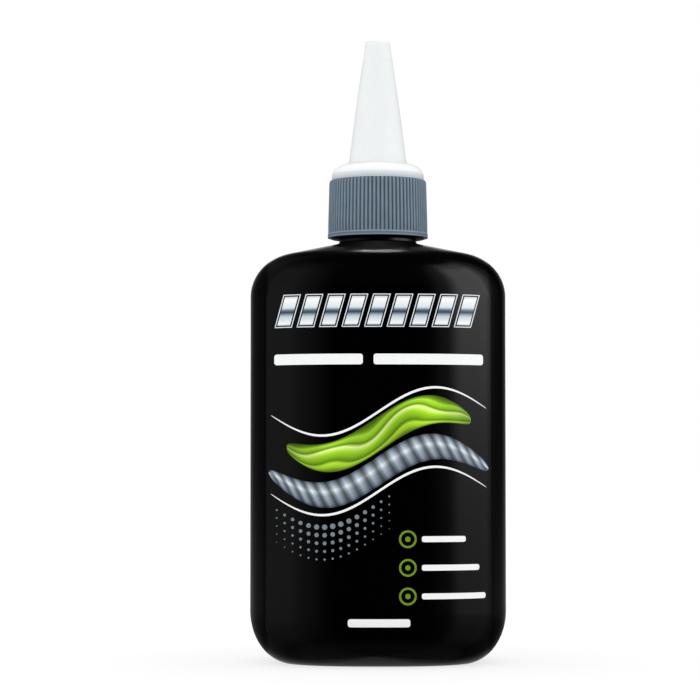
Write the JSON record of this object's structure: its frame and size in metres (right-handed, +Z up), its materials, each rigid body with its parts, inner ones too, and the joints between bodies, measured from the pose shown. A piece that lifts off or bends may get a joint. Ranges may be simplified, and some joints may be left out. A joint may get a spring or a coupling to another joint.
{
  "type": "chain lube bottle",
  "caption": "Upright oval squeeze bottle for chain lube with a screw closure, a drip nozzle and a conical pull-off cover.",
  "frame": {"origin": "centre of the foot on the surface that the bottle stands on, on the axis of the neck", "axes": "+Z up along the neck's axis, +X to the right across the label, and the printed front faces -Y"},
  "size_m": [0.0492, 0.0392, 0.12],
  "materials": {
    "black_body": "satin",
    "label_film": "gloss",
    "white_ink": "gloss",
    "silver_ink": "gloss",
    "lime_ink": "gloss",
    "grey_sleeve": "satin",
    "white_cap": "satin",
    "white_cover": "satin",
    "liner": "matte"
  },
  "bodies": {
    "bottle": {"bottle": "black_body", "front_label": "label_film", "label_print_white": "white_ink", "label_print_silver": "silver_ink", "label_print_lime": "lime_ink"},
    "seal": {"seal_ring": "liner"},
    "closure": {"spout_cap": "white_cap", "grip_sleeve": "grey_sleeve"},
    "cover": {"tip_cover": "white_cover"}
  },
  "joints": [
    {"name": "closure_lift", "type": "slide", "parent": "bottle", "child": "seal", "axis": [0, 0, 1], "range_m": [0, 0.0106]},
    {"name": "closure_turn", "type": "hinge", "parent": "seal", "child": "closure", "pos_m": [0, 0, 0.085], "axis": [0, 0, 1], "range_deg": [0, 1260]},
    {"name": "cover_pull", "type": "slide", "parent": "closure", "child": "cover", "axis": [0, 0, 1], "range_m": [0, 0.024]}
  ],
  "couplings": [
    {"joint": "closure_lift", "follows": "closure_turn", "m_per_rad": 0.00047746}
  ]
}
